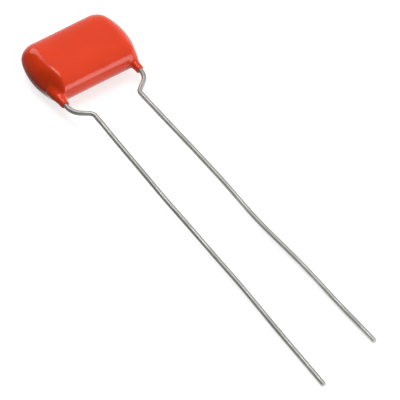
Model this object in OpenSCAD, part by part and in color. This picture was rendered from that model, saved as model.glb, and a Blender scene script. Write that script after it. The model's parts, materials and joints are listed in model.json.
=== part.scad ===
// Dipped polypropylene film capacitor with two kinked radial leads.
// Millimetres. X runs from end to end of the winding, the leads run towards -Y, Z is the thickness.
// The origin is the middle of the coat's flat underside, so the part lies on z = 0.

/* [Winding] */
// Width of the film, which is the length of the winding along X
film_width = 9; // [6:0.1:14]
// Height of the flattened winding along Y, without the wrap
winding_height = 6.6; // [5:0.1:10]
// Thickness of the flattened winding along Z, without the wrap
winding_thickness = 3.1; // [2:0.1:4.5]
// Length of the pressed-shut mandrel slit in the middle of the winding
slit_length = 2.6; // [1:0.1:3]
// Gap that is left open in the mandrel slit
slit_gap = 0.08; // [0.04:0.01:0.2]
// Thickness of the plain film wrapped round the winding
wrap_thickness = 0.1; // [0.05:0.01:0.3]

/* [Sprayed ends] */
// Thickness of the metal sprayed on each end of the winding
spray_thickness = 0.4; // [0.2:0.05:0.8]
// Radius of the sprayed metal's outer edge
spray_edge = 0.2; // [0.05:0.05:0.35]

/* [Leads] */
// Diameter of the lead wire
wire_d = 0.6; // [0.4:0.05:0.8]
// Depth to which each wire is pressed into the sprayed metal
wire_seat = 0.1; // [0.05:0.05:0.2]
// Length of the welded foot, from the winding's middle to the wire's inner end
wire_foot = 2.2; // [1:0.1:2.6]
// Length of the straight stretch below the kink of the left lead
left_length = 46.5; // [10:0.5:60]
// Length of the straight stretch below the kink of the right lead
right_length = 44.5; // [10:0.5:60]
// Angle through which the kink first turns inwards
kink_angle = 53.1301; // [30:0.0001:60]
// Bend radius, on the wire's axis, where the kink begins
kink_start_radius = 2; // [0.8:0.1:2.5]
// Bend radius, on the wire's axis, where the kink ends
kink_end_radius = 0.9; // [0.6:0.1:1.5]
// Length of the slanted stretch between the two bends
kink_slant = 1; // [0.5:0.1:2]
// Bare wire between the coat's collar and the kink
kink_gap = 0.2; // [0.1:0.05:2]
// Angle by which each lead spreads outwards below the kink
splay = 1.3; // [0:0.1:3]

/* [Coat] */
// Coat over the flat faces of the wrapped winding
coat_face = 0.65; // [0.5:0.05:1.2]
// Coat over the round sides of the wrapped winding
coat_side = 0.95; // [0.7:0.05:1.5]
// Coat over the wires at the ends, as the mean of the two ends
coat_end = 1.05; // [0.7:0.05:1.4]
// How far the winding sits off the coat's middle, towards the left end
winding_offset = 0.3; // [0:0.05:0.35]
// Width across Y of the flat on the top and on the underside
flat_width = 2.6; // [1:0.1:4]
// How far the rounded upper edge of each end reaches inwards along X
end_round_top = 1.9; // [0.8:0.1:2.4]
// How far the rounded lower edge of each end reaches inwards along X
end_round_under = 1.4; // [0.8:0.1:2.4]
// Exponent of each end's rounded edge: 2 is an ellipse, less comes closer to a chamfer
end_profile = 1.7; // [1.4:0.1:2.2]
// Radius, in plan, of the outward bulge of each end
bulge_radius = 8.8; // [8:0.2:40]
// Radius, in plan, of the two corners beside the leads
near_corner = 1; // [0.8:0.1:3]
// Radius, in plan, of the two corners away from the leads
far_corner = 2; // [1.2:0.1:3]

/* [Collars] */
// How far the coat creeps along each lead, past the coat's front
collar_length = 1.1; // [0.4:0.1:2]
// Thickness of the coat around the wire at the collar's tip
collar_tip = 0.2; // [0.1:0.05:0.4]
// Thickness of the coat around the wire where the collar leaves the body
collar_root = 0.4; // [0.3:0.05:0.6]
// How far behind the coat's front the collar is widest
collar_seat = 0.9; // [0.5:0.1:1.4]

/* [Hidden] */
$fn = 48;

coat_colour = "#e5502f";
film_colour = "#e9e4d4";
wrap_colour = "#f4f1e6";
spray_colour = "#9a9c9d";
wire_colour = "#c4c6c8";

// The wrapped winding, and the coat round it
wrapped_height = winding_height + 2 * wrap_thickness;
wrapped_thickness = winding_thickness + 2 * wrap_thickness;
wire_x = film_width / 2 + spray_thickness + wire_d / 2 - wire_seat;
coat_width = 2 * (wire_x + wire_d / 2 + coat_end);
coat_height = wrapped_height + 2 * coat_side;
coat_thickness = wrapped_thickness + 2 * coat_face;
middle_z = coat_thickness / 2;

// Steps of the coat's loft
corner_steps = 9;
bulge_steps = 7;
level_count = 20;
near_flat_corner = min(0.5, 0.45 * flat_width);
far_flat_corner = min(0.9, 0.45 * flat_width);

// Reach of a lead along its own plane, and the droop that brings its tip down to z = 0
kink_start = coat_height / 2 + collar_length + kink_gap;
kink_reach = kink_start_radius * sin(kink_angle) + kink_slant * cos(kink_angle)
           + kink_end_radius * (sin(kink_angle) + sin(splay));
function reach(length) = kink_start + kink_reach + length * cos(splay);
function droop(length) = asin(middle_z / norm([reach(length), wire_d / 2]))
                       - atan(wire_d / 2 / reach(length));

// ---------------------------------------------------------------- coat

// Points on an arc, from one angle to another, both included
function arc(centre, radius, from, to, steps) =
  [for (i = [0:steps]) let (a = from + (to - from) * i / steps)
    centre + radius * [cos(a), sin(a)]];

// Right half of the plan outline, anticlockwise: near corner, bulged end, far corner.
// The arcs meet in tangents, so each corner's centre follows from the bulge's centre.
function half_outline(half_w, half_h, near_r, far_r) =
  let (bulge_x = half_w - bulge_radius,
       near_y = half_h - near_r,
       far_y = half_h - far_r,
       near_a = asin(near_y / (bulge_radius - near_r)),
       far_a = asin(far_y / (bulge_radius - far_r)),
       near_x = bulge_x + (bulge_radius - near_r) * cos(near_a),
       far_x = bulge_x + (bulge_radius - far_r) * cos(far_a),
       end = arc([bulge_x, 0], bulge_radius, -near_a, far_a, bulge_steps))
  concat(arc([near_x, -near_y], near_r, -90, -near_a, corner_steps),
         [for (i = [1:bulge_steps - 1]) end[i]],
         arc([far_x, far_y], far_r, far_a, 90, corner_steps));

// Whole outline: the right half, then its mirror image in reverse
function outline(half_w, half_h, near_r, far_r) =
  let (right = half_outline(half_w, half_h, near_r, far_r), last = len(right) - 1)
  concat(right, [for (i = [last:-1:0]) [-right[i][0], right[i][1]]]);

// Plan outline at one latitude: -90 is the underside, 0 the widest level, 90 the top
function level(latitude) =
  let (inset = 1 - cos(latitude),
       height = abs(sin(latitude)),
       end_inset = 1 - pow(max(0, 1 - pow(height, end_profile)), 1 / end_profile),
       end_round = latitude > 0 ? end_round_top : end_round_under,
       half_w = coat_width / 2 - end_round * end_inset,
       half_h = coat_height / 2 - (coat_height - flat_width) / 2 * inset,
       near_r = near_corner + (near_flat_corner - near_corner) * inset,
       far_r = far_corner + (far_flat_corner - far_corner) * inset,
       z = middle_z * (1 + sin(latitude)))
  [for (p = outline(half_w, half_h, near_r, far_r)) [p[0], p[1], z]];

// The pillow shape of the dipped body, lofted from the underside to the top
module coat_body() {
  levels = [for (i = [0:level_count]) level(-90 + 180 * i / level_count)];
  count = len(levels[0]);
  points = [for (ring = levels) each ring];
  walls = [for (i = [0:level_count - 1], j = [0:count - 1])
    let (k = (j + 1) % count)
    [(i + 1) * count + j, (i + 1) * count + k, i * count + k, i * count + j]];
  underside = [for (j = [0:count - 1]) j];
  top = [for (j = [count - 1:-1:0]) level_count * count + j];
  polyhedron(points, concat(walls, [underside, top]));
}

// Collar of coat that creeps along a lead, turned about the wire's axis, which is local Z.
// Local z = 0 is where the wire crosses the winding's middle.
module collar() {
  root_z = coat_height / 2 - 2 * collar_seat;
  widest_z = coat_height / 2 - collar_seat;
  tip_z = coat_height / 2 + collar_length;
  lip = collar_tip / 2;
  tip_r = wire_d / 2 + collar_tip;
  widest_r = wire_d / 2 + collar_root;
  flare_steps = 6;
  flare = [for (i = [0:flare_steps]) let (t = i / flare_steps)
    [tip_r + (widest_r - tip_r) * pow(1 - t, 2), widest_z + (tip_z - lip - widest_z) * t]];
  rotate_extrude()
    polygon(concat([[0, root_z], [wire_d / 2 + lip, root_z]], flare, [[tip_r - lip, tip_z], [0, tip_z]]));
}

module epoxy_coat() {
  color(coat_colour)
    difference() {
      union() {
        coat_body();
        left_wire_place() collar();
        right_wire_place() collar();
      }
      winding_place() {
        along_x(film_width) stadium(wrapped_height, wrapped_thickness);
        right_end() spray_pad();
        left_end() spray_pad();
      }
      left_wire_place() wire_in_coat();
      right_wire_place() wire_in_coat();
    }
}

// ------------------------------------------------------------- winding

// Everything inside the coat sits off its middle
module winding_place() translate([-winding_offset, 0, middle_z]) children();

// Outline of a flattened roll
module stadium(height, thickness) {
  flat = height - thickness;
  square([flat, thickness], center = true);
  for (side = [-1, 1]) translate([side * flat / 2, 0]) circle(d = thickness);
}

// Extrudes an outline in the YZ plane along X, centred on the middle
module along_x(length) rotate([90, 0, 90]) linear_extrude(length, center = true) children();

module film_winding() {
  color(film_colour)
    winding_place() along_x(film_width)
      difference() {
        stadium(winding_height, winding_thickness);
        stadium(slit_length, slit_gap);
      }
}

module outer_wrap() {
  color(wrap_colour)
    winding_place() along_x(film_width)
      difference() {
        stadium(wrapped_height, wrapped_thickness);
        stadium(winding_height, winding_thickness);
      }
}

// -------------------------------------------------------- sprayed ends

module right_end() translate([film_width / 2, 0, 0]) children();
module left_end() mirror([1, 0, 0]) right_end() children();

// Half of the sprayed metal's section: local X is the distance from the middle plane
module spray_section() {
  half = winding_thickness / 2;
  square([half, spray_thickness - spray_edge]);
  square([half - spray_edge, spray_thickness]);
  translate([half - spray_edge, spray_thickness - spray_edge]) circle(r = spray_edge);
}

// Sprayed metal before the wire is pressed in: a straight stretch between two half turns,
// standing on the winding's end and growing along +X
module spray_pad() {
  flat = winding_height - winding_thickness;
  rotate([90, 0, 90]) {
    rotate([90, 0, 90]) linear_extrude(flat, center = true) {
      spray_section();
      mirror([1, 0]) spray_section();
    }
    translate([flat / 2, 0, 0]) rotate([0, 0, -90]) rotate_extrude(angle = 180) spray_section();
    translate([-flat / 2, 0, 0]) rotate([0, 0, 90]) rotate_extrude(angle = 180) spray_section();
  }
}

module end_spray_left() {
  color(spray_colour)
    difference() {
      winding_place() left_end() spray_pad();
      left_wire_place() wire_in_coat();
    }
}

module end_spray_right() {
  color(spray_colour)
    difference() {
      winding_place() right_end() spray_pad();
      right_wire_place() wire_in_coat();
    }
}

// --------------------------------------------------------------- leads

// Puts local Z along a wire, drooping, with local X pointing to the other lead
module wire_place(length) {
  translate([-wire_x, 0, 0]) rotate([90 + droop(length), 0, 0]) children();
}
module left_wire_place() winding_place() wire_place(left_length) children();
module right_wire_place() winding_place() mirror([1, 0, 0]) wire_place(right_length) children();

// The straight stretch from the welded foot to the kink
module wire_in_coat() {
  translate([0, 0, -wire_foot]) cylinder(d = wire_d, h = wire_foot + kink_start);
}

// A bend towards local +X, then whatever follows it
module bend(angle, radius) {
  translate([radius, 0, 0]) {
    mirror([1, 0, 0]) rotate([90, 0, 0])
      rotate_extrude(angle = angle) translate([radius, 0]) circle(d = wire_d);
    rotate([0, angle, 0]) translate([-radius, 0, 0]) children();
  }
}

// One lead: welded foot, kink inwards and back, and the long straight stretch
module lead_wire(length) {
  wire_in_coat();
  translate([0, 0, kink_start]) bend(kink_angle, kink_start_radius) {
    cylinder(d = wire_d, h = kink_slant);
    translate([0, 0, kink_slant]) mirror([1, 0, 0])
      bend(kink_angle + splay, kink_end_radius)
        cylinder(d = wire_d, h = length);
  }
}

module lead_left() color(wire_colour) left_wire_place() lead_wire(left_length);
module lead_right() color(wire_colour) right_wire_place() lead_wire(right_length);

epoxy_coat();
film_winding();
outer_wrap();
end_spray_left();
end_spray_right();
lead_left();
lead_right();
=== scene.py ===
"""Looks of a dipped polypropylene film capacitor with two kinked leads.

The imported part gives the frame: X runs from lead to lead, the leads run towards -Y, and Z is the
thickness, from the flat underside at z = 0. Sizes in this file are in millimetres, and meshes are
scaled to metres when they are made.

The coat is one closed skin drawn round a distance field: the pillow of the dipped body, a collar
that creeps along each lead, and the cavity that the winding and the wires fill. The leads are tubes
swept along their bent path. The winding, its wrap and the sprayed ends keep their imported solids.
"""

import json
import logging
import math
from dataclasses import dataclass, field
from enum import Enum
from typing import Callable, ClassVar, Sequence

import bpy
import numpy as np
from mathutils import Matrix, Vector

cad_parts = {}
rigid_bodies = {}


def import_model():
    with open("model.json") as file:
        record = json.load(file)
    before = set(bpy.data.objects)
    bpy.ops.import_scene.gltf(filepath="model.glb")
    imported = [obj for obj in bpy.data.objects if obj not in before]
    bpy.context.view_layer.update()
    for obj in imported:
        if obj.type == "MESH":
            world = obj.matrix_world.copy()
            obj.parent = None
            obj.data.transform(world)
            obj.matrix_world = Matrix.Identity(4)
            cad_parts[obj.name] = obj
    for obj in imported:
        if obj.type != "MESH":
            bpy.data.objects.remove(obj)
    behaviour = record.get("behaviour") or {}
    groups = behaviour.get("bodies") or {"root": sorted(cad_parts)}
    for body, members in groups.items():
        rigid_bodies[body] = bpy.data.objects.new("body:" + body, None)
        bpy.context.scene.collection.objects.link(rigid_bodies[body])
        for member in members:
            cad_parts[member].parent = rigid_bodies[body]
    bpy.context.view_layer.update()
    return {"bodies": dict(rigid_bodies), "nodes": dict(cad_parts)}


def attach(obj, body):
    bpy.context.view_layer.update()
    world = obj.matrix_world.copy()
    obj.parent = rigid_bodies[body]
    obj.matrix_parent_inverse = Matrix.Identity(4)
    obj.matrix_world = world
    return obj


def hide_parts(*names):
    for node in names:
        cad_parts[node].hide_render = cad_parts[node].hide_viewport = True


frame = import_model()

LOG = logging.getLogger("film_capacitor")
MM = 0.001
BLACK = (0.0, 0.0, 0.0)
WHITE = (1.0, 1.0, 1.0)

# Used by settle: half the distance over which a slope is measured, the least squared slope that a
# step divides by, and the longest step, in millimetres.
PROBE = 0.002
LEAST_SLOPE = 0.2
LONGEST_STEP = 0.08

# Where the winding sits: its middle along X, and its height above the bench, in millimetres.
WINDING_X = -0.3
WINDING_Z = 2.3

Array = np.ndarray
Colour = tuple[float, float, float]
Point = tuple[float, float, float]
Range = tuple[float, float]
Material = bpy.types.Material
Node = bpy.types.Node
NodeTree = bpy.types.NodeTree
Object = bpy.types.Object
Socket = bpy.types.NodeSocket
Value = Socket | Vector | float | tuple[float, ...]
Inputs = dict[str | int, Value]


class Side(Enum):
    """Which end of the winding a lead stands on, as its sign along X."""

    LEFT = -1
    RIGHT = 1


class Slot(Enum):
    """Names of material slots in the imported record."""

    COAT = "coat"
    WIRE = "wire"


class Ray(Enum):
    """Kinds of ray that a stage material can tell apart, as outputs of Light Path."""

    CAMERA = "Is Camera Ray"
    GLOSSY = "Is Glossy Ray"
    TRANSMISSION = "Is Transmission Ray"


# ------------ nodes


class Tree:
    """Writes nodes into one material, world or node group."""

    # Places of factor, A and B, and of the result, on a Mix node that mixes colours.
    COLOUR_INPUTS = (0, 6, 7)
    COLOUR_RESULT = 2

    def __init__(self, tree: NodeTree) -> None:
        """Empties the tree to write into."""
        self.tree = tree
        tree.nodes.clear()

    def add(self, kind: str, inputs: Inputs | None = None, **settings: object) -> Node:
        """Adds a node.

        Args:
            kind: The node's class name without its ShaderNode prefix.
            inputs: What its inputs are fed, by their names or places.
            settings: Properties to set on the node.

        Returns:
            The new node.
        """
        node = self.tree.nodes.new(kind if kind.startswith("Node") else "ShaderNode" + kind)
        node.location = (190 * len(self.tree.nodes), 0)
        for name, value in settings.items():
            setattr(node, name, value)
        self.feed(node, inputs or {})
        return node

    def feed(self, node: Node, inputs: Inputs) -> None:
        """Links outputs to a node's inputs, or sets their values.

        Args:
            node: The node.
            inputs: An output, number, colour or vector for each input, by its name or place.
        """
        for key, value in inputs.items():
            socket = node.inputs[key]
            if isinstance(value, Socket):
                self.tree.links.new(value, socket)
            else:
                colour = socket.type == "RGBA"
                socket.default_value = (*value, 1.0) if colour else value

    def math(self, operation: str, *values: Value) -> Socket:
        """Adds a Math node fed with numbers or outputs, and returns its output."""
        return self.add("Math", dict(enumerate(values)), operation=operation).outputs[0]

    def ramp(
        self, value: Value, low: Value, high: Value, to_low: float = 0.0, to_high: float = 1.0
    ) -> Socket:
        """Maps a value from low and high to to_low and to_high, smoothly and clamped."""
        values = dict(enumerate((value, low, high, to_low, to_high)))
        return self.add("MapRange", values, interpolation_type="SMOOTHSTEP").outputs[0]

    def blend(self, factor: Value, a: Value, b: Value) -> Socket:
        """Mixes two colours, by the share of the second."""
        values = dict(zip(self.COLOUR_INPUTS, (factor, a, b)))
        return self.add("Mix", values, data_type="RGBA").outputs[self.COLOUR_RESULT]

    def mix(self, factor: Value, a: Node, b: Node) -> Node:
        """Mixes two shaders, by the share of the second."""
        return self.add("MixShader", {0: factor, 1: a.outputs[0], 2: b.outputs[0]})

    def rays(self) -> tuple[Socket, Socket]:
        """Tells rays from the camera, and mirrored or refracted rays, from all others.

        Returns:
            Two outputs, each 1 for such a ray and 0 otherwise.
        """
        path = self.add("LightPath").outputs
        mirrored = self.math("MAXIMUM", path[Ray.GLOSSY.value], path[Ray.TRANSMISSION.value])
        return path[Ray.CAMERA.value], mirrored

    def use(self, group: NodeTree, **values: Value) -> dict[str, Socket]:
        """Places a shared group, feeds its named inputs and returns its outputs by name."""
        return dict(self.add("Group", values, node_tree=group).outputs.items())


class Effects:
    """Node groups that several finishes share. Each is built the first time it is asked for."""

    def __init__(self) -> None:
        """Starts with no group built."""
        self.built: dict[str, NodeTree] = {}

    def group(
        self,
        name: str,
        inputs: dict[str, float | None],
        outputs: Sequence[str],
        write: Callable[[Tree, Node, Node], None],
    ) -> NodeTree:
        """Builds a group with named sockets once.

        Args:
            name: The group's name.
            inputs: Input names with their default values, None for a vector.
            outputs: Names of the outputs, each a single number.
            write: Fills the tree between the group's input and output nodes.

        Returns:
            The group.
        """
        if name not in self.built:
            made = bpy.data.node_groups.new(name, "ShaderNodeTree")
            for label, default in inputs.items():
                kind = "NodeSocketVector" if default is None else "NodeSocketFloat"
                socket = made.interface.new_socket(label, in_out="INPUT", socket_type=kind)
                if default is not None:
                    socket.default_value = default
            for label in outputs:
                made.interface.new_socket(label, in_out="OUTPUT", socket_type="NodeSocketFloat")
            tree = Tree(made)
            write(tree, tree.add("NodeGroupInput"), tree.add("NodeGroupOutput"))
            self.built[name] = made
        return self.built[name]

    def mottle(self) -> NodeTree:
        """Soft patches, as a mask from 0 to 1 and a height round 0.

        Returns:
            Group with inputs Place, Scale, Detail and Spread, and outputs Mask and Height.
        """

        def write(tree: Tree, given: Node, made: Node) -> None:
            """One noise, whose middle values are spread out into the mask.

            Args:
                tree: The group's tree.
                given: Its input node.
                made: Its output node.
            """
            place, scale, detail, spread = given.outputs[:4]
            spots = {"Vector": place, "Scale": scale, "Detail": detail}
            noise = tree.add("TexNoise", spots, noise_dimensions="3D").outputs[0]
            low, high = tree.math("SUBTRACT", 0.5, spread), tree.math("ADD", 0.5, spread)
            height = tree.math("SUBTRACT", noise, 0.5)
            tree.feed(made, {"Mask": tree.ramp(noise, low, high), "Height": height})

        inputs = {"Place": None, "Scale": 1.0, "Detail": 2.0, "Spread": 0.15}
        return self.group("mottle", inputs, ("Mask", "Height"), write)

    def specks(self) -> NodeTree:
        """Small round specks, such as dust or pits, as a mask that is 1 in a speck.

        Returns:
            Group with inputs Place, Scale, Size and Share, and output Mask.
        """

        def write(tree: Tree, given: Node, made: Node) -> None:
            """A cell's centre shows where the cell's own random value is below the share.

            Args:
                tree: The group's tree.
                given: Its input node.
                made: Its output node.
            """
            place, scale, size, share = given.outputs[:4]
            grid = {"Vector": place, "Scale": scale}
            cells = tree.add("TexVoronoi", grid, voronoi_dimensions="3D", feature="F1").outputs
            parts = tree.add("SeparateColor", {0: cells["Color"]}).outputs
            chosen = tree.math("LESS_THAN", parts[0], share)
            radius = tree.math("MULTIPLY", size, parts[1])
            near = tree.ramp(cells["Distance"], radius, 0.0)
            tree.feed(made, {"Mask": tree.math("MULTIPLY", chosen, near)})

        inputs = {"Place": None, "Scale": 1.0, "Size": 0.3, "Share": 0.2}
        return self.group("specks", inputs, ("Mask",), write)

    def streaks(self, detail: float = 3.0, band: Range = (0.4, 0.62)) -> NodeTree:
        """Long fine lines that run along the third axis of the place.

        Args:
            detail: Octaves of the noise.
            band: Values of the noise at which the mask begins and is full.

        Returns:
            Group with inputs Place, Scale and Length, and outputs Mask and Height.
        """

        def write(tree: Tree, given: Node, made: Node) -> None:
            """Noise whose place is squeezed along its third axis.

            Args:
                tree: The group's tree.
                given: Its input node.
                made: Its output node.
            """
            place, scale, length = given.outputs[:3]
            share = tree.math("DIVIDE", 1.0, length)
            shrink = tree.add("CombineXYZ", {0: 1.0, 1: 1.0, 2: share}).outputs[0]
            squeeze = tree.add("VectorMath", {0: place, 1: shrink}, operation="MULTIPLY")
            spots = {"Vector": squeeze.outputs[0], "Scale": scale, "Detail": detail}
            noise = tree.add("TexNoise", spots, noise_dimensions="3D").outputs[0]
            height = tree.math("SUBTRACT", noise, 0.5)
            tree.feed(made, {"Mask": tree.ramp(noise, *band), "Height": height})

        inputs = {"Place": None, "Scale": 4.0, "Length": 20.0}
        return self.group("streaks", inputs, ("Mask", "Height"), write)


EFFECTS = Effects()


# ------------ finishes


class Dresser(Tree):
    """A Principled material that is written node by node, with the place on the part at hand."""

    def __init__(self, name: str, constants: Inputs) -> None:
        """Makes the material.

        Args:
            name: The material's name.
            constants: Values for the shader's own inputs.
        """
        self.material = bpy.data.materials.new(name)
        self.material.use_nodes = True
        super().__init__(self.material.node_tree)
        self.shader = self.add("BsdfPrincipled", constants)
        self.end = self.add("OutputMaterial", {"Surface": self.shader.outputs[0]})
        metres = {0: self.add("TexCoord").outputs["Object"], "Scale": 1 / MM}
        self.place = self.add("VectorMath", metres, operation="SCALE").outputs[0]

    def colour(self, value: Value) -> None:
        """Feeds the shader's colour."""
        self.feed(self.shader, {"Base Color": value})

    def roughness(self, mask: Value, smooth: float, rough: float) -> None:
        """Takes roughness from smooth, where the mask is 0, to rough, where it is 1."""
        value = self.math("MULTIPLY_ADD", mask, rough - smooth, smooth)
        self.feed(self.shader, {"Roughness": value})

    def relief(self, height: Value, depth: float) -> None:
        """Bumps the surface. A height of 1 stands for the depth, in millimetres."""
        bump = self.add("Bump", {"Distance": depth * MM, "Height": height})
        self.feed(self.shader, {"Normal": bump.outputs[0]})


@dataclass(frozen=True)
class Finish:
    """A look. Each kind has its own values and writes its own nodes."""

    NAME: ClassVar[str]
    SHADER: ClassVar[Inputs] = {}

    def material(self) -> Material:
        """Makes the material.

        Returns:
            The material.
        """
        made = Dresser(self.NAME, self.SHADER)
        self.write(made)
        return made.material

    def write(self, made: Dresser) -> None:
        """Writes the material's own nodes.

        Args:
            made: The material in the making.
        """
        raise NotImplementedError


@dataclass(frozen=True)
class CoatFinish(Finish):
    """Glossy dipped epoxy: even colour, soft gloss and a faint unevenness."""

    NAME = "dipped_epoxy"
    SHADER = {"Specular IOR Level": 0.35, "IOR": 1.5}

    tone: Colour = (0.82, 0.051, 0.0075)
    thin_tone: Colour = (0.77, 0.045, 0.0070)
    fleck: Colour = (0.62, 0.10, 0.05)
    fleck_share: float = 0.35
    smooth: float = 0.14
    rough: float = 0.18
    peel: float = 0.08
    depth: float = 0.02

    def write(self, made: Dresser) -> None:
        """Broad waves and fine orange peel in the gloss, with a little dust in the colour.

        Args:
            made: The material in the making.
        """
        broad = made.use(EFFECTS.mottle(), Place=made.place, Scale=0.22, Detail=2.0, Spread=0.2)
        fine = made.use(EFFECTS.mottle(), Place=made.place, Scale=2.2, Detail=3.0, Spread=0.18)
        dust = made.use(EFFECTS.specks(), Place=made.place, Scale=1.6, Size=0.07, Share=0.12)
        tone = made.blend(broad["Mask"], self.tone, self.thin_tone)
        flecked = made.math("MULTIPLY", dust["Mask"], self.fleck_share)
        made.colour(made.blend(flecked, tone, self.fleck))
        made.roughness(fine["Mask"], self.smooth, self.rough)
        peel = made.math("MULTIPLY", fine["Height"], self.peel)
        made.relief(made.math("ADD", peel, broad["Height"]), self.depth)


@dataclass(frozen=True)
class WireFinish(Finish):
    """Tinned wire: grey metal with drawing lines, a few dull patches and small nicks."""

    NAME = "tinned_wire"
    SHADER = {"Metallic": 1.0}

    tin: Colour = (0.43, 0.428, 0.412)
    stain: Colour = (0.32, 0.316, 0.30)
    patch_stain: float = 0.5
    nick_stain: float = 0.6
    smooth: float = 0.42
    rough: float = 0.56
    nick_depth: float = 0.6
    depth: float = 0.012

    def write(self, made: Dresser) -> None:
        """Lines that follow the wire round its bends, and patches and nicks by place.

        Args:
            made: The material in the making.
        """
        flow = made.add("Attribute", attribute_name=Lead.FLOW, attribute_type="GEOMETRY")
        lines = made.use(
            EFFECTS.streaks(), Place=flow.outputs["Vector"], Scale=9.0, Length=30.0
        )
        patches = made.use(EFFECTS.mottle(), Place=made.place, Scale=0.45, Detail=3.0, Spread=0.16)
        nicks = made.use(EFFECTS.specks(), Place=made.place, Scale=1.1, Size=0.16, Share=0.25)
        dull = made.math("MULTIPLY", patches["Mask"], self.patch_stain)
        nicked = made.math("MULTIPLY", nicks["Mask"], self.nick_stain)
        made.colour(made.blend(made.math("MAXIMUM", dull, nicked), self.tin, self.stain))
        worn = made.math("MAXIMUM", lines["Mask"], patches["Mask"])
        made.roughness(worn, self.smooth, self.rough)
        dents = made.math("MULTIPLY_ADD", nicks["Mask"], -self.nick_depth, lines["Height"])
        made.relief(dents, self.depth)


@dataclass(frozen=True)
class SprayFinish(Finish):
    """Sprayed metal: matt grey grains."""

    NAME = "sprayed_metal"
    SHADER = {"Metallic": 0.9}

    grain: Colour = (0.42, 0.43, 0.44)
    shade: Colour = (0.27, 0.28, 0.29)
    smooth: float = 0.55
    rough: float = 0.75
    depth: float = 0.04

    def write(self, made: Dresser) -> None:
        """Fine grains with pits between them.

        Args:
            made: The material in the making.
        """
        grains = made.use(EFFECTS.mottle(), Place=made.place, Scale=9.0, Detail=4.0, Spread=0.1)
        pits = made.use(EFFECTS.specks(), Place=made.place, Scale=5.0, Size=0.4, Share=0.4)
        made.colour(made.blend(grains["Mask"], self.shade, self.grain))
        made.roughness(grains["Mask"], self.smooth, self.rough)
        pitted = made.math("SUBTRACT", grains["Height"], pits["Mask"])
        made.relief(pitted, self.depth)


@dataclass(frozen=True)
class FilmFinish(Finish):
    """Edges of many turns of film, as fine lines along the winding."""

    NAME = "wound_film"

    light: Colour = (0.72, 0.70, 0.62)
    dark: Colour = (0.50, 0.49, 0.45)
    smooth: float = 0.4
    rough: float = 0.55
    depth: float = 0.02

    def write(self, made: Dresser) -> None:
        """Lines turned so that they run along X.

        Args:
            made: The material in the making.
        """
        ways = {"Vector": made.place, "Rotation": (0.0, math.pi / 2, 0.0)}
        turned = made.add("Mapping", ways).outputs[0]
        turns = made.use(EFFECTS.streaks(), Place=turned, Scale=8.0, Length=40.0)
        made.colour(made.blend(turns["Mask"], self.light, self.dark))
        made.roughness(turns["Mask"], self.smooth, self.rough)
        made.relief(turns["Height"], self.depth)


@dataclass(frozen=True)
class WrapFinish(Finish):
    """Plain film wrapped round the winding, slightly creased."""

    NAME = "plain_film_wrap"

    light: Colour = (0.85, 0.84, 0.78)
    shade: Colour = (0.74, 0.73, 0.67)
    smooth: float = 0.22
    rough: float = 0.34
    depth: float = 0.03

    def write(self, made: Dresser) -> None:
        """Soft creases in colour, gloss and height.

        Args:
            made: The material in the making.
        """
        creases = made.use(EFFECTS.mottle(), Place=made.place, Scale=0.9, Detail=4.0, Spread=0.12)
        made.colour(made.blend(creases["Mask"], self.light, self.shade))
        made.roughness(creases["Mask"], self.smooth, self.rough)
        made.relief(creases["Height"], self.depth)


# ------------ meshes


def make_object(
    name: str, points: Array, faces: Sequence[Sequence[int]], *, sharp: float
) -> Object:
    """Makes a smooth-shaded mesh object.

    Args:
        name: The object's name.
        points: Vertices in millimetres.
        faces: Vertex numbers of each face.
        sharp: Edges that turn by more than this many degrees stay sharp.

    Returns:
        The object, linked into the scene.
    """
    mesh = bpy.data.meshes.new(name)
    mesh.from_pydata((points * MM).tolist(), [], faces)
    mesh.validate()
    mesh.shade_smooth()
    mesh.set_sharp_from_angle(angle=math.radians(sharp))
    made = bpy.data.objects.new(name, mesh)
    bpy.context.scene.collection.objects.link(made)
    return made


def sheet_faces(numbers: Array) -> list[list[int]]:
    """Joins a sheet of vertices, numbered in rows and columns, with quads, row by row."""
    corners = numbers[:-1, :-1], numbers[:-1, 1:], numbers[1:, 1:], numbers[1:, :-1]
    return np.stack(corners, axis=-1).reshape(-1, len(corners)).tolist()


def finish_piece(piece: Object, finish: Finish, slot: Slot, *nodes: str) -> None:
    """Dresses a piece, puts it on the root body and says which CAD nodes it stands for.

    Args:
        piece: The piece.
        finish: Its finish.
        slot: The record's material slot. Not used.
        nodes: CAD nodes that it replaces.
    """
    piece.data.materials.append(finish.material())
    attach(piece, "root")
    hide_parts(*nodes)
    count = len(piece.data.polygons)
    LOG.info("%s: %d faces, stands for %s", piece.name, count, ", ".join(nodes))


def rounded_meeting(a: Array, b: Array, radius: float) -> Array:
    """Distance to the meeting of two solids, with the edge between them rounded.

    Args:
        a: Distance to the first solid.
        b: Distance to the second solid.
        radius: Radius of the edge.

    Returns:
        Signed distance.
    """
    over_a, over_b = a + radius, b + radius
    outer = np.hypot(np.maximum(over_a, 0), np.maximum(over_b, 0))
    return np.minimum(np.maximum(over_a, over_b), 0) + outer - radius


def flowing_union(a: Array, b: Array, reach: float) -> Array:
    """Distance to two solids that flow together over a reach, as wet resin does."""
    share = np.maximum(reach - np.abs(a - b), 0) / reach
    return np.minimum(a, b) - share**2 * reach / 4


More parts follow.
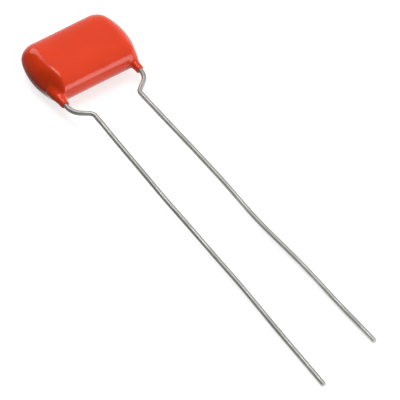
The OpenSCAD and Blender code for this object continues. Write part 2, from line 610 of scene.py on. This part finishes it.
def net(values: Array, corner: Array, step: float) -> tuple[Array, Array]:
    """Draws a surface net: one vertex in each cell that the surface crosses, joined into quads.

    Args:
        values: Field on a grid, negative inside.
        corner: Place of the grid's first node.
        step: Spacing of the grid.

    Returns:
        Vertices, and quads that face outwards.
    """
    inside = values < 0
    cells = tuple(n - 1 for n in values.shape)
    corners = [(i, j, k) for i in (0, 1) for j in (0, 1) for k in (0, 1)]

    def shifted(grid: Array, at: tuple[int, int, int]) -> Array:
        """View of a grid at one corner of every cell."""
        return grid[tuple(slice(s, s + n) for s, n in zip(at, cells))]

    filled = sum(shifted(inside, c).astype(np.int8) for c in corners)
    crossed = (filled > 0) & (filled < len(corners))
    number = np.full(cells, -1)
    number[crossed] = np.arange(crossed.sum())
    total = np.zeros((crossed.sum(), 3))
    count = np.zeros(crossed.sum())
    for first in corners:
        for axis in range(3):
            if first[axis]:
                continue
            second = tuple(1 if n == axis else c for n, c in enumerate(first))
            low, high = shifted(values, first)[crossed], shifted(values, second)[crossed]
            cut = (low < 0) != (high < 0)
            share = np.where(cut, low / np.where(cut, low - high, 1), 0)
            spot = np.tile(np.array(first, float), (len(low), 1))
            spot[:, axis] = share
            total[cut] += spot[cut]
            count += cut
    vertices = corner + step * (np.argwhere(crossed) + total / count[:, None])

    quads = []
    for axis in range(3):
        u, v = (axis + 1) % 3, (axis + 2) % 3
        low = inside[tuple(slice(0, -1) if n == axis else slice(1, -1) for n in range(3))]
        high = inside[tuple(slice(1, None) if n == axis else slice(1, -1) for n in range(3))]
        ring = []
        for du, dv in ((0, 0), (1, 0), (1, 1), (0, 1)):
            starts = {axis: 0, u: du, v: dv}
            part = tuple(slice(starts[n], starts[n] + low.shape[n]) for n in range(3))
            ring.append(number[part])
        faces = np.stack(ring, axis=-1)
        quads.append(faces[low & ~high])
        quads.append(faces[~low & high][:, ::-1])
    return vertices, np.concatenate(quads)


def settle(points: Array, distance: Callable[[Array], Array], rounds: int) -> Array:
    """Moves points onto the surface where a field is zero, along the field's slope.

    Args:
        points: Points near the surface.
        distance: The field.
        rounds: How many steps to take.

    Returns:
        The moved points.
    """
    for _ in range(rounds):
        here = distance(points)
        slope = np.stack([
            (distance(points + PROBE * axis) - distance(points - PROBE * axis)) / (2 * PROBE)
            for axis in np.eye(3)
        ], axis=1)
        length = np.maximum((slope**2).sum(1), LEAST_SLOPE)
        move = -here[:, None] * slope / length[:, None]
        points = points + np.clip(move, -LONGEST_STEP, LONGEST_STEP)
    return points


# ------------ leads


@dataclass(frozen=True)
class Wave:
    """A slight bow of a long lead, left by handling: where, how far and how wide."""

    at: float
    inwards: float
    spread: float

    def depth_at(self, run: float) -> float:
        """How far the lead stands inwards at a distance along its straight stretch."""
        return self.inwards * math.exp(-(((run - self.at) / self.spread) ** 2))


@dataclass
class Lead:
    """One wire: welded foot, kink inwards and back, and the long straight stretch."""

    side: Side
    length: float
    waves: Sequence[Wave]
    wire_d: float = 0.6
    foot: float = 2.2
    wire_x: float = 5.1
    kink_start: float = 5.65
    kink_angle: float = 53.1301
    start_radius: float = 2.0
    end_radius: float = 0.9
    slant: float = 1.0
    splay: float = 1.3
    bow_fade: float = 3.0
    pinch: float = 0.03
    bevel: float = 0.06
    nip: float = 0.8
    sides: int = 32
    foot_rings: int = 13
    start_rings: int = 13
    end_rings: int = 16
    step: float = 0.5
    name: str = field(init=False)

    FLOW = "wire_flow"

    def __post_init__(self) -> None:
        """Names the lead after its side."""
        self.name = f"lead_{self.side.name.lower()}"

    @property
    def radius(self) -> float:
        """Radius of the wire."""
        return self.wire_d / 2

    @property
    def below_kink(self) -> float:
        """Where the straight stretch begins, measured along the lead's plane."""
        turn, splay = math.radians(self.kink_angle), math.radians(self.splay)
        return (
            self.kink_start
            + self.start_radius * math.sin(turn)
            + self.slant * math.cos(turn)
            + self.end_radius * (math.sin(turn) + math.sin(splay))
        )

    @property
    def droop(self) -> float:
        """Angle, in radians, that brings the lead's tip down to the bench."""
        reach = self.below_kink + self.length * math.cos(math.radians(self.splay))
        rise = math.asin(WINDING_Z / math.hypot(reach, self.radius))
        return rise - math.atan(self.radius / reach)

    @property
    def start(self) -> Array:
        """Where the wire's axis crosses the winding's middle."""
        return np.array([WINDING_X + self.side.value * self.wire_x, 0.0, WINDING_Z])

    @property
    def heading(self) -> Array:
        """Direction of the wire where it leaves the coat."""
        return np.array([0.0, -math.cos(self.droop), -math.sin(self.droop)])

    def along_and_off(self, points: Array) -> tuple[Array, Array]:
        """Distance along the wire's first stretch, and distance off its axis.

        Args:
            points: Places to measure.

        Returns:
            Distances along and off the axis.
        """
        apart = points - self.start
        along = apart @ self.heading
        return along, np.linalg.norm(apart - along[..., None] * self.heading, axis=-1)

    def plane_path(self) -> tuple[Array, Array]:
        """Path in the lead's own plane: inwards, and along.

        Returns:
            Points, and how strongly the wire is bent at each, from 0 to 1.
        """
        turn, splay = math.radians(self.kink_angle), math.radians(self.splay)
        foot = np.linspace(-self.foot, self.kink_start, self.foot_rings + 1)[:-1]
        path = [(0.0, at, 0.0) for at in foot]
        for angle in np.linspace(0, turn, self.start_rings):
            inwards = self.start_radius * (1 - math.cos(angle))
            path.append((inwards, self.kink_start + self.start_radius * math.sin(angle), 1.0))
        inwards, along, _ = path[-1]
        inwards += self.slant * math.sin(turn)
        along += self.slant * math.cos(turn)
        path.append((inwards, along, 1.0))
        for angle in np.linspace(turn, -splay, self.end_rings + 1)[1:]:
            side = inwards + self.end_radius * (math.cos(angle) - math.cos(turn))
            path.append((side, along + self.end_radius * (math.sin(turn) - math.sin(angle)), 1.0))
        inwards, along, _ = path[-1]
        for run in (*np.arange(self.step, self.length, self.step), self.length):
            bow = sum(wave.depth_at(run) for wave in self.waves) if run < self.length else 0.0
            bow *= min(1.0, run / self.bow_fade) ** 2
            side = inwards - run * math.sin(splay) + bow
            path.append((side, along + run * math.cos(splay), 0.0))
        points = np.array(path)
        return points[:, :2], points[:, 2]

    def path(self) -> tuple[Array, Array]:
        """Path in the shared frame.

        Returns:
            Points, and how strongly the wire is bent at each, from 0 to 1.
        """
        plane, bent = self.plane_path()
        across = self.start[0] - self.side.value * plane[:, 0]
        down = WINDING_Z + plane[:, 1] * self.heading[2]
        return np.stack([across, plane[:, 1] * self.heading[1], down], axis=1), bent

    def build(self, finish: WireFinish) -> None:
        """Sweeps the wire along its path, with nipped ends.

        Args:
            finish: The wire's finish.
        """
        path, bent = self.path()
        runs = np.concatenate([[0], np.cumsum(np.linalg.norm(np.diff(path, axis=0), axis=1))])
        ahead = np.gradient(path, runs, axis=0)
        ahead /= np.linalg.norm(ahead, axis=1)[:, None]
        over = np.array([0.0, -math.sin(self.droop), math.cos(self.droop)])
        across = np.cross(over, ahead)
        across /= np.linalg.norm(across, axis=1)[:, None]
        turn = np.linspace(0, 2 * math.pi, self.sides, endpoint=False)
        rings = []
        for centre, sideways, pinched in zip(path, across, 1 - self.pinch * bent):
            ring = np.outer(np.cos(turn) * pinched, sideways) + np.outer(np.sin(turn), over)
            rings.append(centre + self.radius * ring)
        first, last = rings[0], rings[-1] - self.bevel * ahead[-1]
        inner = path[0] + (first - first.mean(0)) * self.nip - self.bevel * ahead[0]
        outer = path[-1] + (last - last.mean(0)) * self.nip
        points = np.concatenate([inner, *rings[:-1], last, outer])
        numbers = np.arange(len(points)).reshape(-1, self.sides)
        faces = sheet_faces(np.hstack([numbers, numbers[:, :1]]))
        faces += [numbers[0, ::-1].tolist(), numbers[-1].tolist()]
        made = make_object(f"{self.name}_wire", points, faces, sharp=40)
        self.mark_flow(made.data, np.concatenate([[0], runs, [runs[-1]]]), turn)
        finish_piece(made, finish, Slot.WIRE, self.name)

    def mark_flow(self, mesh: bpy.types.Mesh, runs: Array, turn: Array) -> None:
        """Stores, at each vertex, its place round and along the wire.

        Args:
            mesh: The lead's mesh.
            runs: Distance along the wire of each ring.
            turn: Angle of each point in a ring.
        """
        flow = mesh.attributes.new(self.FLOW, "FLOAT_VECTOR", "POINT")
        ring = np.stack([np.cos(turn), np.sin(turn)], axis=1) * self.radius
        values = np.array([(*spot, run) for run in runs for spot in ring])
        flow.data.foreach_set("vector", values.ravel())


# ------------ coat


@dataclass
class Pillow:
    """The dipped body: a plan outline of arcs that draws in towards two flats."""

    width: float = 12.87
    height: float = 8.7
    thickness: float = 4.6
    flat_width: float = 2.6
    end_round_top: float = 1.9
    end_round_under: float = 1.4
    end_profile: float = 1.7
    bulge_radius: float = 8.8
    near_corner: float = 1.0
    far_corner: float = 2.0
    near_flat_corner: float = 0.5
    far_flat_corner: float = 0.9

    # Halvings in the search for a level, the least level that counts as above or below a flat's
    # outline, and a number that keeps divisions finite.
    HALVINGS = 34
    LEAST_LEVEL = 1e-7
    TINY = 1e-9

    def plan_distance(self, x: Array, y: Array, level: Array, upper: Array | bool) -> Array:
        """Distance in plan to the outline at a level.

        Args:
            x: Place along X.
            y: Place along Y.
            level: 0 at the widest level, 1 at the flats.
            upper: Whether the level is in the upper half.

        Returns:
            Signed distance, negative inside.
        """
        side_inset = 1 - np.sqrt(np.maximum(1 - level**2, 0))
        power = self.end_profile
        end_inset = 1 - np.maximum(1 - level**power, 0) ** (1 / power)
        end_round = np.where(upper, self.end_round_top, self.end_round_under)
        half_w = self.width / 2 - end_round * end_inset
        half_h = self.height / 2 - (self.height - self.flat_width) / 2 * side_inset
        x = np.abs(x)
        bulge_x = half_w - self.bulge_radius
        angle = np.arctan2(y, x - bulge_x)
        found = np.hypot(x - bulge_x, y) - self.bulge_radius
        near = (-1, self.near_corner, self.near_flat_corner)
        far = (1, self.far_corner, self.far_flat_corner)
        for sign, corner, flat_corner in (near, far):
            radius = corner + (flat_corner - corner) * side_inset
            up = half_h - radius
            lean = np.arcsin(up / (self.bulge_radius - radius))
            across = bulge_x + (self.bulge_radius - radius) * np.cos(lean)
            rounded = np.hypot(x - across, y - sign * up) - radius
            beside = np.where(x < across, sign * y - half_h, rounded)
            found = np.where(sign * angle > lean, beside, found)
        return found

    def level_through(self, x: Array, y: Array, upper: Array | bool) -> Array:
        """Level whose outline passes through a place.

        Args:
            x: Place along X.
            y: Place along Y.
            upper: Whether the level is in the upper half.

        Returns:
            The level: 1 on the flats, 0 outside the body.
        """
        low, high = np.zeros_like(x), np.ones_like(x)
        for _ in range(self.HALVINGS):
            middle = (low + high) / 2
            within = self.plan_distance(x, y, middle, upper) < 0
            low, high = np.where(within, middle, low), np.where(within, high, middle)
        return low

    def distance(self, x: Array, y: Array, z: Array, through: Array | None = None) -> Array:
        """Distance to the body, exact at its surface.

        Args:
            x: Place along X.
            y: Place along Y.
            z: Place along Z.
            through: The result of level_through, if it is known.

        Returns:
            Signed distance, negative inside.
        """
        middle = self.thickness / 2
        level = np.abs(z - middle) / middle
        upper = z > middle
        through = self.level_through(x, y, upper) if through is None else through
        aside = self.plan_distance(x, y, np.minimum(level, 1), upper)
        above = middle * (level - through)
        crossed = through > self.LEAST_LEVEL
        slack = np.where(crossed, 1 / (above**2 + self.TINY), 0)
        slack = slack + np.where((level < 1) | (aside > 0), 1 / (aside**2 + self.TINY), 0)
        outside = np.where(crossed, above > 0, aside > 0)
        return np.where(outside, 1, -1) / np.sqrt(slack + self.TINY)


@dataclass(frozen=True)
class Flat:
    """A flat place on the body, where the resin sagged before it set."""

    spot: Point
    facing: Point
    edge: float

    def distance(self, points: Array) -> Array:
        """Signed distance to the plane of the flat place."""
        facing = np.array(self.facing) / np.linalg.norm(self.facing)
        return (points - np.array(self.spot)) @ facing


@dataclass
class Collar:
    """Coat that creeps along a lead and ends in a blunt rounded lip."""

    lead: Lead
    root: float = 2.55
    widest: float = 3.45
    tip: float = 5.45
    wide_radius: float = 0.7
    tip_radius: float = 0.5
    lip: float = 0.1
    slope: float = 0.12

    def distance(self, points: Array) -> Array:
        """Measures the collar.

        Args:
            points: Places to measure.

        Returns:
            Signed distance, negative inside.
        """
        along, off = self.lead.along_and_off(points)
        run = np.clip((along - self.widest) / (self.tip - self.widest), 0, 1)
        radius = self.tip_radius + (self.wide_radius - self.tip_radius) * (1 - run) ** 2
        tilt = self.slope * self.lead.side.value * (points[..., 0] - self.lead.start[0])
        front = along - self.tip + np.abs(self.slope * self.tip_radius) + tilt
        return np.maximum(rounded_meeting(off - radius, front, self.lip), self.root - along)


@dataclass
class Winding:
    """The flattened winding with its wrap and sprayed ends, which the coat is cast round.

    The hollow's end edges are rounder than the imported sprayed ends, so that the resin over these
    corners, which is thin at the flat shoulder, stays whole.
    """

    film_width: float = 9.0
    spray: float = 0.4
    spray_edge: float = 0.5
    height: float = 6.6
    thickness: float = 3.1
    wrap: float = 0.1

    def distance(self, points: Array) -> Array:
        """Measures the space that the winding fills.

        Args:
            points: Places to measure.

        Returns:
            Signed distance, negative inside.
        """
        x = np.abs(points[..., 0] - WINDING_X)
        y, z = np.abs(points[..., 1]), points[..., 2] - WINDING_Z
        flat = (self.height - self.thickness) / 2
        off = np.hypot(np.maximum(y - flat, 0), z) - self.thickness / 2
        wound = np.maximum(off - self.wrap, x - self.film_width / 2)
        sprayed = rounded_meeting(off, x - self.film_width / 2 - self.spray, self.spray_edge)
        return np.minimum(wound, sprayed)

    def dress(self) -> None:
        """Gives the winding, its wrap and the sprayed ends their finishes."""
        dressed = {
            "film_winding": FilmFinish(),
            "outer_wrap": WrapFinish(),
            "end_spray_left": SprayFinish(),
            "end_spray_right": SprayFinish(),
        }
        for node, finish in dressed.items():
            kept = frame["nodes"][node]
            kept.data.materials.clear()
            kept.data.materials.append(finish.material())
            LOG.info("%s: packed solid kept, dressed as %s", node, kept.data.materials[0].name)


@dataclass
class Coat:
    """The whole coat: pillow, two collars, and the cavity round what is inside."""

    leads: Sequence[Lead]
    pillow: Pillow = field(default_factory=Pillow)
    winding: Winding = field(default_factory=Winding)
    left_collar: float = 5.35
    right_collar: float = 5.55
    collar_room: float = 1.3
    shoulder: Flat = Flat((-4.573, -2.676, 4.672), (-0.797, -0.331, 0.513), 0.3)
    creep: float = 0.45
    step: float = 0.1
    rounds: int = 4
    sag: float = 0.02
    ripples: Sequence[tuple[float, float, float, float]] = (
        (0.42, 0.31, 0.25, 0.4),
        (-0.23, 0.55, 0.4, 2.1),
        (0.85, -0.62, 0.3, 4.4),
    )

    def unevenness(self, points: Array) -> Array:
        """How far the dipped surface lies inside its nominal shape.

        Args:
            points: Places on the surface.

        Returns:
            Depth, from 0 to twice the sag.
        """
        waves = [
            np.sin(points[..., 0] * a + points[..., 1] * b + points[..., 2] * c + start)
            for a, b, c, start in self.ripples
        ]
        return self.sag * (1 + sum(waves) / len(waves))

    def distance(self, points: Array, through: Array | None = None) -> Array:
        """Signed distance to the coat.

        Args:
            points: Places to measure.
            through: The pillow's level_through at those places, if it is known.

        Returns:
            Signed distance, negative in the resin.
        """
        found = self.pillow.distance(points[..., 0], points[..., 1], points[..., 2], through)
        found = rounded_meeting(found, self.shoulder.distance(points), self.shoulder.edge)
        found = found + self.unevenness(points)
        for lead in self.leads:
            tip = self.left_collar if lead.side is Side.LEFT else self.right_collar
            collar = Collar(lead, tip=tip)
            found = flowing_union(found, collar.distance(points), self.creep)
        hollow = self.winding.distance(points)
        for lead in self.leads:
            along, off = lead.along_and_off(points)
            hollow = np.minimum(hollow, np.maximum(off - lead.radius, -lead.foot - along))
        return np.maximum(found, -hollow)

    def build(self, finish: CoatFinish) -> None:
        """Draws the coat's skin.

        Args:
            finish: The coat's finish.
        """
        room = 3 * self.step
        half_w, half_h = self.pillow.width / 2, self.pillow.height / 2
        low = np.array([-half_w, -half_h - self.collar_room, 0.0]) - room
        high = np.array([half_w, half_h, self.pillow.thickness]) + room
        axes = [np.arange(a, b, self.step) for a, b in zip(low, high)]
        grid = np.stack(np.meshgrid(*axes, indexing="ij"), axis=-1)
        plan = grid[:, :, 0, 0], grid[:, :, 0, 1]
        over, under = (self.pillow.level_through(*plan, half)[:, :, None] for half in (True, False))
        through = np.where(grid[..., 2] > self.pillow.thickness / 2, over, under)
        points, quads = net(self.distance(grid, through), low, self.step)
        points = settle(points, self.distance, self.rounds)
        made = make_object("epoxy_coat_skin", points, quads.tolist(), sharp=60)
        finish_piece(made, finish, Slot.COAT, "epoxy_coat")


# ------------ stage


@dataclass(frozen=True)
class Softbox:
    """A rectangular studio lamp that points at the part."""

    name: str
    direction: Point
    distance: float
    width: float
    height: float
    radiance: float

    def build(self, target: Vector) -> None:
        """Hangs the lamp.

        Args:
            target: The place it points at, in metres.
        """
        lamp = bpy.data.lights.new(self.name, "AREA")
        lamp.shape = "RECTANGLE"
        lamp.size, lamp.size_y = self.width * MM, self.height * MM
        lamp.energy = self.radiance * math.pi * lamp.size * lamp.size_y
        hung = bpy.data.objects.new(self.name, lamp)
        hung.location = target + Vector(self.direction).normalized() * self.distance * MM
        hung.rotation_mode = "QUATERNION"
        hung.rotation_quaternion = (target - hung.location).to_track_quat("-Z", "Y")
        hung.visible_camera = False
        bpy.context.scene.collection.objects.link(hung)


@dataclass
class Studio:
    """Pale floor, soft lamps, surroundings and camera.

    A fade is the pair of places, or for the surroundings of cosines from the bright side, between
    which one strength gives way to another.
    """

    floor_size: float = 6000.0
    floor_lines: int = 9
    floor_z: float = -0.02
    floor_fade: Range = (-10.0, -3.0)
    paper_shade: float = 0.985
    floor_tone: float = 0.52
    # Share of the floor's tone at the left of the part: painted shade, so that less light bounces
    # onto the part's left end.
    floor_painted_shade: float = 0.3
    floor_lift: float = 0.70
    # Lift for the camera at the left, higher so that the painted shade there still shows as white.
    floor_lift_dim: float = 0.92
    # What mirrored rays see of the floor: a painted reflection, dimmed as painted shade to the left
    # of and behind the part.
    gleam_painted_shade_left: float = 0.20
    gleam_high: float = 0.95
    gleam_painted_shade_behind: float = 0.35
    gleam_fade: Range = (-9.0, -4.0)
    behind_fade: Range = (-2.0, 1.0)
    surround_low: float = 0.03
    surround_high: float = 0.60
    surround_gleam: float = 0.10
    surround_fade: Range = (-0.45, 0.35)
    bright_side: Point = (1.0, -0.1, 0.1)
    lamps: Sequence[Softbox] = (
        Softbox("front_softbox", (0.30, -0.94, 0.15), 420.0, 230.0, 230.0, 4.3),
        Softbox("side_softbox", (0.87, -0.49, 0.08), 480.0, 380.0, 190.0, 1.5),
        Softbox("overhead_softbox", (-0.02, 0.20, 0.98), 520.0, 220.0, 380.0, 5.0),
        Softbox("back_softbox", (-0.08, 0.84, 0.52), 450.0, 210.0, 330.0, 2.4),
    )
    lamp_target: Point = (0.0, -5.0, 2.0)
    sensor_width: float = 36.0
    look_past: Point = (0.0, -20.0, 2.4)
    azimuth: float = 34.7012
    elevation: float = 47.2393
    roll: float = 0.2538
    distance: float = 700.0
    frame_width: float = 45.327
    aim_right: float = 2.5855
    aim_down: float = 4.2949

    def surroundings(self) -> None:
        """Lights the part from all round: bright to the right, dim to the left.

        The camera sees plain white, and mirrored rays see a share of that white.
        """
        world = bpy.data.worlds.new("surroundings")
        bpy.context.scene.world = world
        world.use_nodes = True
        tree = Tree(world.node_tree)
        bright = Vector(self.bright_side).normalized()
        ways = {0: tree.add("TexCoord").outputs["Generated"], 1: bright}
        cosine = tree.add("VectorMath", ways, operation="DOT_PRODUCT").outputs["Value"]
        glow = tree.ramp(cosine, *self.surround_fade, self.surround_low, self.surround_high)
        camera, mirrored = tree.rays()
        share = tree.math("MULTIPLY", mirrored, self.surround_gleam)
        lit = tree.add("Background", {"Color": WHITE, "Strength": glow})
        plain = tree.add("Background", {"Color": WHITE})
        mixed = tree.mix(tree.math("MAXIMUM", camera, share), lit, plain)
        tree.add("OutputWorld", {"Surface": mixed.outputs[0]})

    def floor(self) -> Object:
        """Makes a pale floor, its colour darkened to the left as painted shade.

        It is lifted to white for the camera, which sees through it from below. To mirrored rays it
        shows a painted reflection, dimmed as painted shade to the left and behind the part.

        Returns:
            The floor.
        """
        line = np.linspace(-self.floor_size / 2, self.floor_size / 2, self.floor_lines)
        points = np.array([(x, y, self.floor_z) for y in line for x in line])
        numbers = np.arange(len(points)).reshape(self.floor_lines, -1)
        made = make_object("floor", points, sheet_faces(numbers), sharp=30)
        paint = Dresser("pale_floor", {"Roughness": 0.9, "Specular IOR Level": 0.1})
        paper = paint.use(EFFECTS.mottle(), Place=paint.place, Scale=0.02, Detail=2.0, Spread=0.3)
        pale = (self.floor_tone,) * 3
        shade = (self.floor_tone * self.paper_shade,) * 3
        x, y, _ = paint.add("SeparateXYZ", {0: paint.place}).outputs
        tone = paint.blend(paper["Mask"], pale, shade)
        # Painted shade: the floor's colour is darkened towards the left of the part.
        bright = paint.ramp(x, *self.floor_fade, self.floor_painted_shade, 1.0)
        paint.colour(paint.blend(bright, BLACK, tone))

        camera, mirrored = paint.rays()
        # Painted reflection for mirrored rays, with painted shade to the left of and behind the
        # part.
        across = paint.ramp(x, *self.gleam_fade, self.gleam_painted_shade_left, self.gleam_high)
        behind = paint.ramp(y, *self.behind_fade, 1.0, self.gleam_painted_shade_behind)
        gleam = paint.math("MULTIPLY", across, behind)
        level = paint.ramp(x, *self.floor_fade, self.floor_lift_dim, self.floor_lift)
        glow = paint.math("MULTIPLY_ADD", mirrored, gleam, paint.math("MULTIPLY", camera, level))
        lift = paint.add("Emission", {"Color": WHITE, "Strength": glow})
        lifted = paint.add("AddShader", {0: paint.shader.outputs[0], 1: lift.outputs[0]})

        under = paint.add("NewGeometry").outputs["Backfacing"]
        clear = paint.add("BsdfTransparent")
        mixed = paint.mix(paint.math("MULTIPLY", under, camera), lifted, clear)
        paint.feed(paint.end, {"Surface": mixed.outputs[0]})
        made.data.materials.append(paint.material)
        return made

    def camera(self) -> None:
        """Sets up a long lens that looks down on the part from the front and left."""
        turn, tilt = math.radians(self.azimuth), math.radians(self.elevation)
        right = Vector((math.cos(turn), -math.sin(turn), 0.0))
        flat = math.cos(tilt)
        ahead = Vector((math.sin(turn) * flat, math.cos(turn) * flat, -math.sin(tilt)))
        up = right.cross(ahead)
        middle = Vector(self.look_past)
        stand = middle - ahead * self.distance
        aim = middle + right * self.aim_right - up * self.aim_down
        back = (stand - aim).normalized()
        level = up.cross(back).normalized()
        lean = math.radians(self.roll)
        side = level * math.cos(lean) + back.cross(level) * math.sin(lean)
        rise = back.cross(side)
        lens = bpy.data.cameras.new("long_lens")
        lens.sensor_width = self.sensor_width
        lens.lens = lens.sensor_width * self.distance / self.frame_width
        lens.clip_start, lens.clip_end = 0.01, 20.0
        lens.dof.use_dof = False
        made = bpy.data.objects.new("long_lens", lens)
        turned = Matrix((side, rise, back)).transposed().to_4x4()
        made.matrix_world = Matrix.Translation(stand * MM) @ turned
        bpy.context.scene.collection.objects.link(made)
        bpy.context.scene.camera = made

    def build(self) -> None:
        """Sets up the whole stage."""
        bpy.context.scene.view_settings.view_transform = "Standard"
        self.surroundings()
        floor = self.floor()
        for lamp in self.lamps:
            lamp.build(Vector(self.lamp_target) * MM)
        self.camera()
        LOG.info("stage: %s, %d lamps and a camera", floor.name, len(self.lamps))


# ------------ main


def clear_start_up() -> None:
    """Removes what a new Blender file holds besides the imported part."""
    kept = set(frame["bodies"].values()) | set(frame["nodes"].values())
    for item in [o for o in bpy.data.objects if o not in kept]:
        bpy.data.objects.remove(item)


def main() -> None:
    """Builds the leads, the coat and the stage, and dresses the winding."""
    logging.basicConfig(level=logging.INFO, format="%(name)s %(message)s")
    clear_start_up()
    left_waves = (Wave(6.0, -0.05, 4.0), Wave(14.0, -0.09, 5.0), Wave(30.0, 0.09, 5.0))
    right_waves = (Wave(23.0, 0.28, 5.5), Wave(38.0, 0.08, 4.0))
    leads = (Lead(Side.LEFT, 46.5, left_waves), Lead(Side.RIGHT, 44.5, right_waves))
    for lead in leads:
        lead.build(WireFinish())
    Coat(leads).build(CoatFinish())
    Winding().dress()
    Studio().build()


if __name__ == "__main__":
    main()
